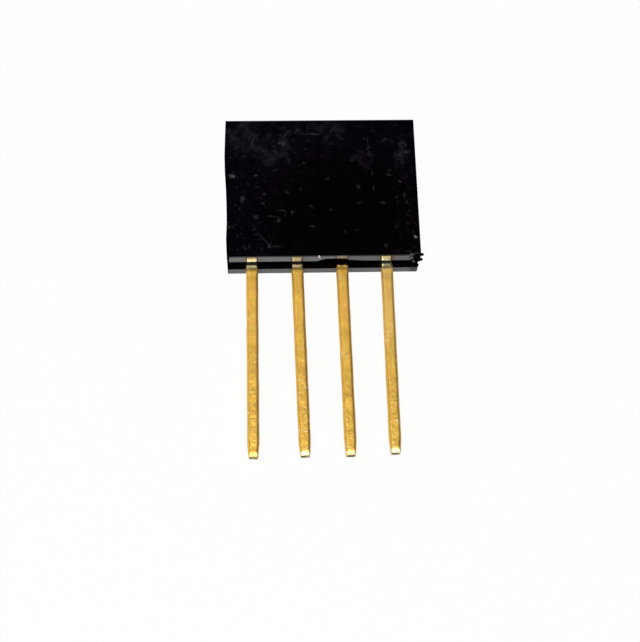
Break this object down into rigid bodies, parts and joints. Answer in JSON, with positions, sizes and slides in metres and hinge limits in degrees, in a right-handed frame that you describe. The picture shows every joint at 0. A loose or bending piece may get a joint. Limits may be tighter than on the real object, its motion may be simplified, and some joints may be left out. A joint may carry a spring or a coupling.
{
  "type": "female pin header strip",
  "caption": "Straight female pin header strip with long tails: black moulded housing with square sockets over stamped, gold plated spring contacts, lying on its back.",
  "frame": {"origin": "under the middle of the row of contacts, at the board seat, on the surface that the strip lies on", "axes": "+X along the row, from the neatly cut end to the roughly cut end; +Y from the tails to the socket mouths; +Z out of the front face"},
  "size_m": [0.011, 0.0198, 0.0025],
  "materials": {
    "moulding": "black injection moulded plastic with a soft shine and a little dust",
    "plated_contact": "thin gold plating, satin from the stamping"
  },
  "bodies": {
    "root": {"housing": "moulding", "contact_1": "plated_contact", "contact_2": "plated_contact", "contact_3": "plated_contact", "contact_4": "plated_contact"}
  },
  "joints": []
}
